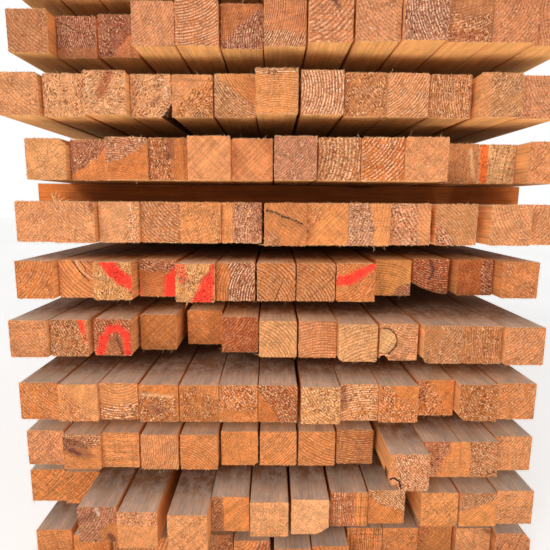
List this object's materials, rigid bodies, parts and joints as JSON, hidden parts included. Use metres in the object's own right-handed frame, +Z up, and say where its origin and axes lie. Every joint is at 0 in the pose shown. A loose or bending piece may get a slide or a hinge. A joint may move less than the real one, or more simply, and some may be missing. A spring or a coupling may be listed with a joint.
{
  "type": "stick-stacked pack of square pine studs",
  "caption": "Pack of long rough-sawn square pine studs, stacked in layers on thin cross stickers, with uneven weathered ends.",
  "frame": {"origin": "centre of the pack's footprint, on the ground under the lowest layer", "axes": "+Z up, studs run along Y with their uneven front ends towards -Y, stickers run along X"},
  "size_m": [0.73, 2.525, 0.82],
  "materials": {
    "rough_sawn_pine": "rough sawn, weathered",
    "sticker_wood": "rough sawn, dark with age"
  },
  "bodies": {
    "root": {"stud_layer_01": "rough_sawn_pine", "stud_layer_02": "rough_sawn_pine", "stud_layer_03": "rough_sawn_pine", "stud_layer_04": "rough_sawn_pine", "stud_layer_05": "rough_sawn_pine", "stud_layer_06": "rough_sawn_pine", "stud_layer_07": "rough_sawn_pine", "stud_layer_08": "rough_sawn_pine", "stud_layer_09": "rough_sawn_pine", "stud_layer_10": "rough_sawn_pine", "stud_layer_11": "rough_sawn_pine", "sticker_line_1": "sticker_wood", "sticker_line_2": "sticker_wood", "sticker_line_3": "sticker_wood", "sticker_line_4": "sticker_wood", "sticker_line_5": "sticker_wood"}
  },
  "joints": []
}
